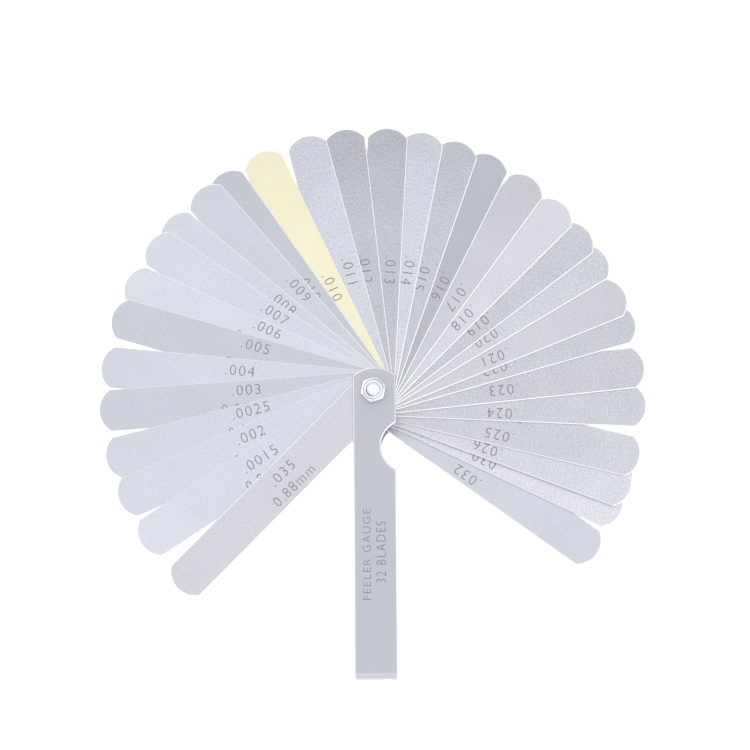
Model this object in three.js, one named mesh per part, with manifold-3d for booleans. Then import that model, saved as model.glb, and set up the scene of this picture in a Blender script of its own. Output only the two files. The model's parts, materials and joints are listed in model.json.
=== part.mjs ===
// Feeler gauge: 32 leaf blades fanned about the pivot screw of a folded sheet-steel holder.
//
// Millimetres. The origin is on the pivot axis, at the underside of the screw's head. +Z runs
// along the screw to its nut. +Y points from the far end of the holder to the pivot.

import * as THREE from "three";
import { mergeVertices } from "three/addons/utils/BufferGeometryUtils.js";
import Module from "manifold-3d";

const wasm = await Module();
wasm.setup();

// ---- Blades ----------------------------------------------------------------------------------

const BLADE_WIDTH = 12.7;
const BLADE_REACH = 84; // from the pivot axis to the middle of the tip
const BLADE_TIP_RISE = 3.35; // from the tip's corners to its middle
const BLADE_CLEARANCE = 0.02; // between neighbours, and from the outer blades to the plates
const BORE_CLEARANCE = 0.08; // radial, from the screw to the bore of a blade or plate

// From the front plate to the rear plate: name, thickness, fan angle in degrees and shade.
// The fan angle is how far the blade is turned clockwise, seen from the nut, from +Y.
const BLADES = [
  ["blade_035", 0.889, -135, 0.84],
  ["blade_0015", 0.038, -123, 0.85],
  ["blade_002", 0.051, -113, 0.85],
  ["blade_0025", 0.064, -104, 0.84],
  ["blade_003", 0.076, -93.5, 0.81],
  ["blade_004", 0.102, -84, 0.85],
  ["blade_005", 0.127, -73, 0.8],
  ["blade_006", 0.152, -65, 0.86],
  ["blade_007", 0.178, -55.5, 0.85],
  ["blade_008", 0.203, -49.5, 0.84],
  ["blade_009", 0.229, -40, 0.82],
  ["blade_010", 0.254, -34.5, 0.79],
  ["blade_010_brass", 0.254, -25, 1],
  ["blade_011", 0.279, -14.5, 0.84],
  ["blade_012", 0.305, -6, 0.77],
  ["blade_013", 0.33, 3.5, 0.77],
  ["blade_014", 0.356, 11.5, 0.84],
  ["blade_015", 0.381, 19.5, 0.79],
  ["blade_016", 0.406, 27, 0.74],
  ["blade_017", 0.432, 36.5, 0.82],
  ["blade_018", 0.457, 45.5, 0.86],
  ["blade_019", 0.483, 53, 0.8],
  ["blade_020", 0.508, 59.5, 0.84],
  ["blade_021", 0.533, 68.5, 0.83],
  ["blade_022", 0.559, 74.5, 0.81],
  ["blade_023", 0.584, 84.5, 0.81],
  ["blade_024", 0.61, 93, 0.82],
  ["blade_025", 0.635, 104, 0.82],
  ["blade_026", 0.66, 111, 0.85],
  ["blade_028", 0.711, 110, 0.85],
  ["blade_030", 0.762, 116, 0.88],
  ["blade_032", 0.813, 126, 0.83],
];

const THICKNESS = 1; // column of BLADES
const stackHeight = BLADES.reduce(
  (height, blade) => height + blade[THICKNESS] + BLADE_CLEARANCE,
  BLADE_CLEARANCE,
);

// ---- Holder ----------------------------------------------------------------------------------

const SHEET = 1;
const BEND_RADIUS = 2; // outside radius of the two bends at the far end
const HOLDER_LIP = 0.2; // how far each long edge stands out past a closed blade
const HOLDER_OFFSET = 0.25; // from the pivot axis to the holder's centreline, along +X
const TIP_CLEARANCE = 1.9; // from a closed blade's tip to the inside of the end web
const CROWN_LIP = 0.9; // how far the rounded end stands out past the blades' round ends
const CROWN_RISE = 2.5; // from the rounded end's corners to its middle
const NOTCH_RADIUS = 7.9;
const NOTCH_DEPTH = 4.66;
const NOTCH_DROP = 16.95; // from the pivot axis to the notch's middle, towards the far end

const holderWidth = BLADE_WIDTH + 2 * HOLDER_LIP;
const holderReach = BLADE_REACH + TIP_CLEARANCE + SHEET;
const holderHeight = stackHeight + 2 * SHEET;
const crownReach = BLADE_WIDTH / 2 + CROWN_LIP;

// ---- Pivot screw and nut ---------------------------------------------------------------------

const SCREW_DIAMETER = 4;
const THREAD_CLEARANCE = 0.02; // radial, from the screw to the nut's bore
const HEX_ACROSS_FLATS = 7;
const HEX_FACE_SHARE = 0.87; // flat round face's diameter, over the size across flats
const HEX_CHAMFER = THREE.MathUtils.degToRad(30);
const HEAD_HEIGHT = 2.8;
const HEAD_TURN = THREE.MathUtils.degToRad(4);
const NUT_HEIGHT = 3.2;
const NUT_TURN = THREE.MathUtils.degToRad(17); // from +X to a corner, anticlockwise
const SCREW_STANDOUT = 0.3; // screw's end past the nut
const SCREW_END_CHAMFER = 0.4;

const screwRadius = SCREW_DIAMETER / 2;
const boreRadius = screwRadius + BORE_CLEARANCE;
const rearPlateFloor = HEAD_HEIGHT;
const stackFloor = rearPlateFloor + SHEET;
const nutFloor = rearPlateFloor + holderHeight;
const screwTop = nutFloor + NUT_HEIGHT + SCREW_STANDOUT;

// ---- Fineness --------------------------------------------------------------------------------

const ARC_DIVISIONS = 8; // each arc of a flat outline gets twice as many straight sides
const ROUND_SIDES = 48;
const CUT_MARGIN = 1; // how far a cutting tool runs past what it cuts

// ---- Solids ----------------------------------------------------------------------------------

// A closed geometry as a solid that can be cut and joined.
function solidFrom(geometry) {
  const bare = geometry.clone();
  bare.deleteAttribute("normal");
  bare.deleteAttribute("uv");
  const merged = mergeVertices(bare);
  return new wasm.Manifold(
    new wasm.Mesh({
      numProp: 3,
      vertProperties: new Float32Array(merged.attributes.position.array),
      triVerts: new Uint32Array(merged.index.array),
    }),
  );
}

function geometryFrom(solid) {
  const mesh = solid.getMesh();
  const geometry = new THREE.BufferGeometry();
  geometry.setAttribute("position", new THREE.BufferAttribute(mesh.vertProperties, 3));
  geometry.setIndex(new THREE.BufferAttribute(mesh.triVerts, 1));
  geometry.computeVertexNormals();
  return geometry;
}

// An outline in X and Y raised from floor to floor + height.
function prism(outline, floor, height) {
  const geometry = new THREE.ExtrudeGeometry(outline, {
    depth: height,
    bevelEnabled: false,
    curveSegments: ARC_DIVISIONS,
  });
  return geometry.translate(0, 0, floor);
}

// A round bar along Z.
function roundBar(radius, floor, height, x = 0, y = 0) {
  const geometry = new THREE.CylinderGeometry(radius, radius, height, ROUND_SIDES);
  return geometry.rotateX(Math.PI / 2).translate(x, y, floor + height / 2);
}

// A solid of revolution about Z, from a profile of [radius, height] points that starts and
// ends on the axis.
function turned(profile) {
  const points = profile.map(([radius, height]) => new THREE.Vector2(radius, height));
  return new THREE.LatheGeometry(points, ROUND_SIDES).rotateX(Math.PI / 2);
}

// ---- Pieces ----------------------------------------------------------------------------------

// The radius of the arc that rises this far between two corners.
function arcRadius(halfWidth, rise) {
  return (halfWidth ** 2 + rise ** 2) / (2 * rise);
}

// A parallel leaf, round at the pivot, with a shallow arc for its tip. It points along +Y.
function bladeGeometry(thickness) {
  const half = BLADE_WIDTH / 2;
  const tipRadius = arcRadius(half, BLADE_TIP_RISE);
  const tipCentre = BLADE_REACH - tipRadius;
  const cornerAngle = Math.acos(half / tipRadius);
  const outline = new THREE.Shape();
  outline.absarc(0, 0, half, Math.PI, 2 * Math.PI);
  outline.absarc(0, tipCentre, tipRadius, cornerAngle, Math.PI - cornerAngle);
  const bore = new THREE.Path();
  bore.absarc(0, 0, boreRadius, 0, 2 * Math.PI);
  outline.holes.push(bore);
  return prism(outline, 0, thickness);
}

// The holder's sheet seen from its long edge: two plates joined by a web with rounded bends.
// The outline's X is the height above the rear plate's underside, and its Y is the object's Y.
function foldedSection() {
  const top = holderHeight;
  const end = -holderReach;
  const start = crownReach + CUT_MARGIN;
  const inner = BEND_RADIUS - SHEET;
  const right = Math.PI / 2;
  const outline = new THREE.Shape();
  outline.moveTo(SHEET, start);
  outline.lineTo(0, start);
  outline.absarc(BEND_RADIUS, end + BEND_RADIUS, BEND_RADIUS, 2 * right, 3 * right);
  outline.absarc(top - BEND_RADIUS, end + BEND_RADIUS, BEND_RADIUS, -right, 0);
  outline.lineTo(top, start);
  outline.lineTo(top - SHEET, start);
  outline.absarc(top - BEND_RADIUS, end + BEND_RADIUS, inner, 0, -right, true);
  outline.absarc(BEND_RADIUS, end + BEND_RADIUS, inner, 3 * right, 2 * right, true);
  return outline;
}

// The holder's face seen from the nut: square at the far end and crowned at the pivot.
function facePlan() {
  const half = holderWidth / 2;
  const radius = arcRadius(half, CROWN_RISE);
  const centre = crownReach - radius;
  const sideAngle = Math.acos(half / radius);
  const end = -holderReach - CUT_MARGIN;
  const outline = new THREE.Shape();
  outline.moveTo(HOLDER_OFFSET - half, end);
  outline.lineTo(HOLDER_OFFSET + half, end);
  outline.absarc(HOLDER_OFFSET, centre, radius, sideAngle, Math.PI - sideAngle);
  return outline;
}

function holderGeometry() {
  const floor = rearPlateFloor;
  const sweep = holderWidth + 2 * CUT_MARGIN;
  const folded = prism(foldedSection(), -sweep / 2, sweep)
    .rotateY(-Math.PI / 2)
    .translate(HOLDER_OFFSET, 0, floor);
  const cutFloor = floor - CUT_MARGIN;
  const cutHeight = holderHeight + 2 * CUT_MARGIN;
  const edge = HOLDER_OFFSET + holderWidth / 2;
  const notchCentre = edge - NOTCH_DEPTH + NOTCH_RADIUS;
  const bore = roundBar(boreRadius, cutFloor, cutHeight);
  const notch = roundBar(NOTCH_RADIUS, cutFloor, cutHeight, notchCentre, -NOTCH_DROP);
  const solid = solidFrom(folded)
    .intersect(solidFrom(prism(facePlan(), cutFloor, cutHeight)))
    .subtract(solidFrom(bore))
    .subtract(solidFrom(notch));
  return geometryFrom(solid);
}

// A hexagon along Z with its corners chamfered at the outer end, or at both ends.
function hexagon(floor, height, chamferedFloor, chamferedTop) {
  const flat = HEX_ACROSS_FLATS / 2;
  const corner = flat / Math.cos(Math.PI / 6);
  const face = flat * HEX_FACE_SHARE;
  const drop = (corner - face) * Math.tan(HEX_CHAMFER);
  const wide = corner + CUT_MARGIN;
  const slope = CUT_MARGIN * Math.tan(HEX_CHAMFER);
  const low = chamferedFloor ? [[face, floor], [wide, floor + drop + slope]] : [[wide, floor]];
  const top = floor + height;
  const high = chamferedTop ? [[wide, top - drop - slope], [face, top]] : [[wide, top]];
  const envelope = turned([[0, floor], ...low, ...high, [0, top]]);
  const bar = new THREE.CylinderGeometry(corner, corner, height, 6);
  bar.rotateX(Math.PI / 2).rotateZ(Math.PI / 6).translate(0, 0, floor + height / 2);
  return solidFrom(bar).intersect(solidFrom(envelope));
}

// A hexagon-head screw. Its thread is stood for by a plain bar of the thread's diameter.
function screwGeometry() {
  const shank = turned([
    [0, HEAD_HEIGHT / 2],
    [screwRadius, HEAD_HEIGHT / 2],
    [screwRadius, screwTop - SCREW_END_CHAMFER],
    [screwRadius - SCREW_END_CHAMFER, screwTop],
    [0, screwTop],
  ]);
  return geometryFrom(hexagon(0, HEAD_HEIGHT, true, false).add(solidFrom(shank)));
}

function nutGeometry() {
  const hole = roundBar(
    screwRadius + THREAD_CLEARANCE,
    nutFloor - CUT_MARGIN,
    NUT_HEIGHT + 2 * CUT_MARGIN,
  );
  return geometryFrom(hexagon(nutFloor, NUT_HEIGHT, true, true).subtract(solidFrom(hole)));
}

// ---- Scene -----------------------------------------------------------------------------------

function steel(shade, roughness) {
  const colour = new THREE.Color();
  colour.setRGB(0.98 * shade, 0.987 * shade, 1.02 * shade, THREE.SRGBColorSpace);
  return new THREE.MeshStandardMaterial({ color: colour, roughness, metalness: 1 });
}

function named(name, geometry, material) {
  const mesh = new THREE.Mesh(geometry, material);
  mesh.name = name;
  return mesh;
}

const group = new THREE.Group();

group.add(named("holder", holderGeometry(), steel(0.79, 0.45)));

const screw = named("pivot_screw", screwGeometry(), steel(0.9, 0.2));
screw.rotation.z = HEAD_TURN;
group.add(screw);

const nut = named("hex_nut", nutGeometry(), steel(0.95, 0.15));
nut.rotation.z = NUT_TURN;
group.add(nut);

let height = stackFloor + BLADE_CLEARANCE;
for (const [name, thickness, fanAngle, shade] of BLADES.toReversed()) {
  const material = steel(shade, 0.4);
  if (name.endsWith("brass")) {
    material.color.setRGB(0.96, 0.935, 0.81, THREE.SRGBColorSpace);
  }
  const blade = named(name, bladeGeometry(thickness), material);
  blade.position.z = height;
  blade.rotation.z = -THREE.MathUtils.degToRad(fanAngle);
  group.add(blade);
  height += thickness + BLADE_CLEARANCE;
}

export default group;
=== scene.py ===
"""Looks of a fanned feeler gauge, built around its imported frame.

The gauge is 32 spring leaves on one pivot screw, held in a folded sheet-steel holder. Every size
and place is read from the frame or is a named value of the piece it belongs to. Sizes are in
millimetres until a mesh is made. The row frame has +Z along the screw towards its nut and +Y from
the closed end of the holder towards the pivot.
"""

import json
import logging
import math
from dataclasses import dataclass
from enum import Enum

import bmesh
import bpy
import numpy as np
from mathutils import Matrix, Vector


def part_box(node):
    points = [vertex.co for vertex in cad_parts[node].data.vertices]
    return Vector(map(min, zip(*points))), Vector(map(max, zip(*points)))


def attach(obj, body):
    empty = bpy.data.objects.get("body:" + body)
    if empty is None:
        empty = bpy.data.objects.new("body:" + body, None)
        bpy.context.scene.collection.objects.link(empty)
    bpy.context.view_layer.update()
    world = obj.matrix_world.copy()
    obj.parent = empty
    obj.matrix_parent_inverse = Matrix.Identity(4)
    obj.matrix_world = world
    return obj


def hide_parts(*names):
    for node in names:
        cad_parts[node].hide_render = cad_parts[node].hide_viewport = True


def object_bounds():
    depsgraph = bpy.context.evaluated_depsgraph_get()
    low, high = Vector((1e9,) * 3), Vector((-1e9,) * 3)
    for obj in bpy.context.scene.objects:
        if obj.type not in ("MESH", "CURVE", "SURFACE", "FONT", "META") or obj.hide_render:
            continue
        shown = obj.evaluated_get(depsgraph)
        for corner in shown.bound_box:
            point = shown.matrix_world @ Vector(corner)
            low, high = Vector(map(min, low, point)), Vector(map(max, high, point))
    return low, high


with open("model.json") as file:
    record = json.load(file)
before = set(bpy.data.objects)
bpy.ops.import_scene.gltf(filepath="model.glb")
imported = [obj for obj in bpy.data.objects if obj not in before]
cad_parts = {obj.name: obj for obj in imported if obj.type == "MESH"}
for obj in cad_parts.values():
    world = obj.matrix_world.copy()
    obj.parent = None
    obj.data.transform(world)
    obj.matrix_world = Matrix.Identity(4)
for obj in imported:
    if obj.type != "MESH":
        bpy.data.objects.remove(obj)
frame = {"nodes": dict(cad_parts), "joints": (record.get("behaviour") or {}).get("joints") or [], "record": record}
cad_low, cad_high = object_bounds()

MM = 0.001
NEAR = 0.001  # millimetres within which two measures of a CAD node are the same
DISPLAY_GAMMA = 2.2
LOG = logging.getLogger("feeler_gauge")


# ---- Meshes ------------------------------------------------------------------------------------


def turn_about_z(points: np.ndarray, angle: float) -> np.ndarray:
    """Turn points anticlockwise about Z.

    Args:
        points: Array whose last axis holds x, y, z.
        angle: Angle in radians.

    Returns:
        The turned points, in an array of the same shape.
    """
    c, s = math.cos(angle), math.sin(angle)
    return points @ np.array([[c, s, 0.0], [-s, c, 0.0], [0.0, 0.0, 1.0]])


def arc(centre: tuple[float, float], radius: float, start: float, end: float, count: int) -> np.ndarray:
    """Points on a circle: centre plus radius times the cosine and sine of evenly spaced angles.

    Args:
        centre: Centre of the circle.
        radius: Radius of the circle.
        start: First angle in radians.
        end: Last angle in radians, which is included.
        count: Number of points.

    Returns:
        An array of count rows of x, y.
    """
    angle = np.linspace(start, end, count)
    return np.column_stack([centre[0] + radius * np.cos(angle), centre[1] + radius * np.sin(angle)])


def grid_faces(rows: int, columns: int, wrap_rows: bool) -> np.ndarray:
    """Quads of a grid whose columns wrap round.

    Args:
        rows: Number of rows of points.
        columns: Number of points in a row.
        wrap_rows: Whether the last row joins the first.

    Returns:
        An array of four vertex numbers for each quad.
    """
    row = np.arange(rows if wrap_rows else rows - 1)[:, None]
    column = np.arange(columns)[None, :]
    row_next = (row + 1) % rows
    column_next = (column + 1) % columns
    corners = [
        row * columns + column,
        row * columns + column_next,
        row_next * columns + column_next,
        row_next * columns + column,
    ]
    return np.stack([c.ravel() for c in corners], axis=1)


def signed_volume(points: np.ndarray, quads: np.ndarray) -> float:
    """Volume inside closed quads: a sixth of the sum of each triangle's triple product.

    Args:
        points: Array of vertices by x, y, z.
        quads: Four vertex numbers for each quad.

    Returns:
        The volume, which is negative where the quads face inwards.
    """
    a, b, c, d = (points[quads[:, k]] for k in range(4))
    first = np.einsum("ij,ij->i", a, np.cross(b, c))
    second = np.einsum("ij,ij->i", a, np.cross(c, d))
    return float((first.sum() + second.sum()) / 6)


def link_mesh(name: str, mesh: bpy.types.Mesh, crease: float) -> bpy.types.Object:
    """Shade a mesh smooth, keep the edges sharper than crease sharp, and put it in the scene.

    Args:
        name: Name of the new object.
        mesh: The mesh that it shows.
        crease: Angle in degrees past which an edge stays sharp.

    Returns:
        The new object.
    """
    mesh.polygons.foreach_set("use_smooth", np.ones(len(mesh.polygons), bool))
    mesh.set_sharp_from_angle(angle=math.radians(crease))
    mesh.update()
    made = bpy.data.objects.new(name, mesh)
    bpy.context.scene.collection.objects.link(made)
    return made


def mesh_from_rings(name: str, rings: np.ndarray, closed: bool, crease: float = 35.0) -> bpy.types.Object:
    """Make a piece from rings of points, each a closed loop.

    The surface runs from ring to ring. A closed piece joins its last ring to its first, as round
    a bore. An open one is closed by a point in the middle of each end ring.

    Args:
        name: Name of the new object.
        rings: Array of rings by points by x, y, z, in millimetres in the row frame.
        closed: Whether the last ring joins the first.
        crease: Angle in degrees past which an edge stays sharp.

    Returns:
        The new object.
    """
    rows, columns = rings.shape[:2]
    points = rings.reshape(-1, 3)
    quads = grid_faces(rows, columns, closed)
    if not closed:
        ends = rings[[0, -1]].mean(axis=1)
        points = np.vstack([points, ends])
        column = np.arange(columns)
        column_next = (column + 1) % columns
        low = np.full(columns, rows * columns)
        high = low + 1
        last = (rows - 1) * columns
        fan_low = np.stack([low, column_next, column, low], axis=1)
        fan_high = np.stack([high, last + column, last + column_next, high], axis=1)
        quads = np.vstack([quads, fan_low, fan_high])
    if signed_volume(points, quads) < 0:
        quads = quads[:, ::-1]
    faces = [list(dict.fromkeys(face)) for face in quads.tolist()]
    mesh = bpy.data.meshes.new(name)
    mesh.from_pydata((points * MM).tolist(), [], faces)
    return link_mesh(name, mesh, crease)


def write_uv(piece: bpy.types.Object, places: np.ndarray, span: float) -> None:
    """Give a piece a flat UV map from a place on each vertex.

    Args:
        piece: The piece whose mesh gets the map.
        places: Array of vertices by two, in millimetres.
        span: Length in millimetres that one UV unit covers.
    """
    mesh = piece.data
    corners = np.zeros(len(mesh.loops), np.int32)
    mesh.loops.foreach_get("vertex_index", corners)
    layer = mesh.uv_layers.new(name="surface")
    layer.data.foreach_set("uv", (places[corners] / span).astype(np.float32).ravel())


# ---- Shader groups -----------------------------------------------------------------------------


class NodePen:
    """Places and joins the nodes of one tree."""

    def __init__(self, tree: bpy.types.NodeTree) -> None:
        """Start with an empty tree."""
        self.tree = tree
        self.column = 0

    def add(self, kind: str, inputs: dict | None = None, **settings: object) -> bpy.types.Node:
        """Add a node to the right of the last one.

        Args:
            kind: The node's type name.
            inputs: A value or an output socket for each input, by its name or number.
            settings: Attributes to set on the node first.

        Returns:
            The new node.
        """
        node = self.tree.nodes.new(kind)
        node.location = (self.column * 200, 0)
        self.column += 1
        for key, value in settings.items():
            setattr(node, key, value)
        for key, value in (inputs or {}).items():
            if isinstance(value, bpy.types.NodeSocket):
                self.tree.links.new(value, node.inputs[key])
            else:
                node.inputs[key].default_value = value
        return node

    def math(self, operation: str, first: object, second: object = 0.0) -> bpy.types.NodeSocket:
        """Add a Math node and return its output."""
        return self.add("ShaderNodeMath", {0: first, 1: second}, operation=operation).outputs[0]


def grain_group() -> bpy.types.NodeTree:
    """Build the ground-metal group: fine grinding lines and broad cloudiness.

    The lines are noise that is stretched along the vector's Y. The clouds are soft noise of a
    few millimetres. Both are centred on 0.

    Returns:
        The group, with inputs Vector, Line Pitch, Stretch and Cloud Pitch, and outputs Lines and
        Clouds. Both pitches are in the vector's units.
    """
    group = bpy.data.node_groups.new("ground_metal_grain", "ShaderNodeTree")
    sockets = group.interface
    sockets.new_socket("Vector", in_out="INPUT", socket_type="NodeSocketVector")
    for name, value in (("Line Pitch", 0.3), ("Stretch", 6.0), ("Cloud Pitch", 12.0)):
        socket = sockets.new_socket(name, in_out="INPUT", socket_type="NodeSocketFloat")
        socket.default_value = value
    sockets.new_socket("Lines", in_out="OUTPUT", socket_type="NodeSocketFloat")
    sockets.new_socket("Clouds", in_out="OUTPUT", socket_type="NodeSocketFloat")
    pen = NodePen(group)
    given = pen.add("NodeGroupInput").outputs
    fineness = pen.math("DIVIDE", 1.0, given["Line Pitch"])
    lengthwise = pen.math("DIVIDE", fineness, given["Stretch"])
    squeeze = pen.add("ShaderNodeCombineXYZ", {"X": fineness, "Y": lengthwise, "Z": fineness})
    drawn = pen.add(
        "ShaderNodeVectorMath", {0: given["Vector"], 1: squeeze.outputs[0]}, operation="MULTIPLY"
    )
    lines = pen.add(
        "ShaderNodeTexNoise",
        {"Vector": drawn.outputs[0], "Scale": 1.0, "Detail": 3.0, "Roughness": 0.6},
    )
    clouds = pen.add(
        "ShaderNodeTexNoise",
        {
            "Vector": given["Vector"],
            "Scale": pen.math("DIVIDE", 1.0, given["Cloud Pitch"]),
            "Detail": 2.0,
            "Roughness": 0.5,
        },
    )
    pen.add(
        "NodeGroupOutput",
        {
            "Lines": pen.math("SUBTRACT", lines.outputs[0], 0.5),
            "Clouds": pen.math("SUBTRACT", clouds.outputs[0], 0.5),
        },
    )
    return group


@dataclass(frozen=True)
class Finish:
    """A metal finish: how it shines and how its grain looks.

    Attributes:
        roughness: Mean roughness.
        roughness_spread: How far the grain moves the roughness either way.
        line_pitch: Width of the grinding lines in millimetres.
        stretch: Length of a line over its width.
        line_shade: How far the lines move the colour either way, as a share.
        cloud_pitch: Size of the cloudy patches in millimetres.
        cloud_shade: How far the patches move the colour either way, as a share.
        relief: Height of the lines in millimetres.
        metallic: How metallic the surface is.
    """

    roughness: float
    roughness_spread: float
    line_pitch: float
    stretch: float
    line_shade: float
    cloud_pitch: float
    cloud_shade: float
    relief: float
    metallic: float = 1.0


class Metal(Enum):
    """The finishes on the gauge."""

    COARSE_STEEL = Finish(0.36, 0.08, 0.42, 1.6, 0.24, 9.0, 0.03, 0.0012)
    FINE_STEEL = Finish(0.36, 0.05, 0.45, 2.0, 0.1, 14.0, 0.02, 0.0005)
    ROLLED_STEEL = Finish(0.42, 0.03, 0.3, 2.0, 0.012, 25.0, 0.012, 0.0003)
    BRASS = Finish(0.36, 0.05, 0.45, 2.0, 0.05, 14.0, 0.02, 0.0006)
    NICKEL = Finish(0.16, 0.06, 0.6, 1.0, 0.05, 4.0, 0.03, 0.0025)
    # EDGE is the finish of the near-white edge material, whose colour is a painted highlight.
    EDGE = Finish(0.3, 0.05, 0.2, 6.0, 0.03, 6.0, 0.02, 0.0004)
    ETCH = Finish(0.6, 0.05, 0.3, 1.0, 0.1, 3.0, 0.05, 0.0003, 0.6)


class Workshop:
    """Makes the materials, all from one grain group."""

    uv_span = 100.0  # millimetres to one unit of the pieces' UV maps
    noise_gain = 4.0  # noise keeps within about a quarter of 0, so this takes it to 1

    def __init__(self) -> None:
        """Build the shared group."""
        self.group = grain_group()

    def edge(self, brass: bool = False) -> bpy.types.Material:
        """A near-white copy of the metal for rounded edges, made once for each metal: a painted highlight for the
        light that the edges catch.

        Args:
            brass: Whether it is brass, or else steel.

        Returns:
            The material.
        """
        name = "brass_edge_highlight" if brass else "steel_edge_highlight"
        # Near-white: a painted highlight, not the metal's own colour.
        colour = (0.98, 0.95, 0.78) if brass else (0.97, 0.975, 0.985)
        return bpy.data.materials.get(name) or self.material(name, colour, Metal.EDGE, False)

    def material(
        self,
        name: str,
        colour: tuple[float, float, float],
        metal: Metal,
        on_uv: bool,
        tip_shade: float = 0.0,
        tip_span: tuple[float, float] = (0.0, 1.0),
    ) -> bpy.types.Material:
        """Make one metal.

        Args:
            name: Name of the material.
            colour: Linear base colour.
            metal: The finish.
            on_uv: Whether the grain follows the piece's UV map, or else its object coordinates.
            tip_shade: How much the colour grows along Y over tip_span, as a share.
            tip_span: Where along Y the colour starts and stops growing, in millimetres.

        Returns:
            The new material.
        """
        finish = metal.value
        made = bpy.data.materials.new(name)
        made.use_nodes = True
        made.node_tree.nodes.clear()
        pen = NodePen(made.node_tree)
        if on_uv:
            place = pen.add("ShaderNodeUVMap", uv_map="surface").outputs[0]
            per_unit = self.uv_span
        else:
            place = pen.add("ShaderNodeTexCoord").outputs["Object"]
            per_unit = 1 / MM
        scaled = pen.add(
            "ShaderNodeVectorMath", {0: place, 1: (per_unit,) * 3}, operation="MULTIPLY"
        )
        grain = pen.add(
            "ShaderNodeGroup",
            {
                "Vector": scaled.outputs[0],
                "Line Pitch": finish.line_pitch,
                "Stretch": finish.stretch,
                "Cloud Pitch": finish.cloud_pitch,
            },
            node_tree=self.group,
        )
        lines = grain.outputs["Lines"]
        line_part = pen.math("MULTIPLY", lines, self.noise_gain * finish.line_shade)
        clouds = grain.outputs["Clouds"]
        cloud_part = pen.math("MULTIPLY", clouds, self.noise_gain * finish.cloud_shade)
        shade = pen.math("ADD", pen.math("ADD", line_part, cloud_part), 1.0)
        if tip_shade:
            along = pen.add("ShaderNodeSeparateXYZ", {"Vector": scaled.outputs[0]}).outputs["Y"]
            drift = pen.add(
                "ShaderNodeMapRange",
                {
                    "Value": along,
                    "From Min": tip_span[0],
                    "From Max": tip_span[1],
                    "To Min": 0.0,
                    "To Max": tip_shade,
                },
                interpolation_type="SMOOTHSTEP",
            )
            shade = pen.math("ADD", shade, drift.outputs[0])
        tint = pen.add("ShaderNodeVectorMath", {0: colour}, operation="SCALE")
        made.node_tree.links.new(shade, tint.inputs["Scale"])
        rough_part = pen.math("MULTIPLY", lines, self.noise_gain * finish.roughness_spread)
        roughness = pen.math("ADD", rough_part, finish.roughness)
        bump = pen.add(
            "ShaderNodeBump",
            {"Strength": 1.0, "Distance": finish.relief * MM, "Height": lines},
        )
        shader = pen.add(
            "ShaderNodeBsdfPrincipled",
            {
                "Base Color": tint.outputs[0],
                "Metallic": finish.metallic,
                "Roughness": roughness,
                "Normal": bump.outputs[0],
            },
        )
        pen.add("ShaderNodeOutputMaterial", {"Surface": shader.outputs[0]})
        return made


def linear(colour: list[float], level: float = 1.0) -> tuple[float, float, float]:
    """Turn display values into linear ones, by the display's power, and scale them."""
    return tuple(level * float(c) ** DISPLAY_GAMMA for c in colour[:3])


def record_colour(slot: str) -> list[float]:
    """The base colour that the record gives a material slot."""
    return next(m["base_color"] for m in frame["record"]["materials"] if m["slot"] == slot)


# ---- Leaves ------------------------------------------------------------------------------------


def node_points(node: str) -> np.ndarray:
    """Read the vertices of a CAD node.

    Args:
        node: Name of the node.

    Returns:
        Array of vertices by x, y, z, in millimetres in the row frame.
    """
    mesh = frame["nodes"][node].data
    flat = np.zeros(len(mesh.vertices) * 3, np.float32)
    mesh.vertices.foreach_get("co", flat)
    return flat.reshape(-1, 3).astype(float) / MM


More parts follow.
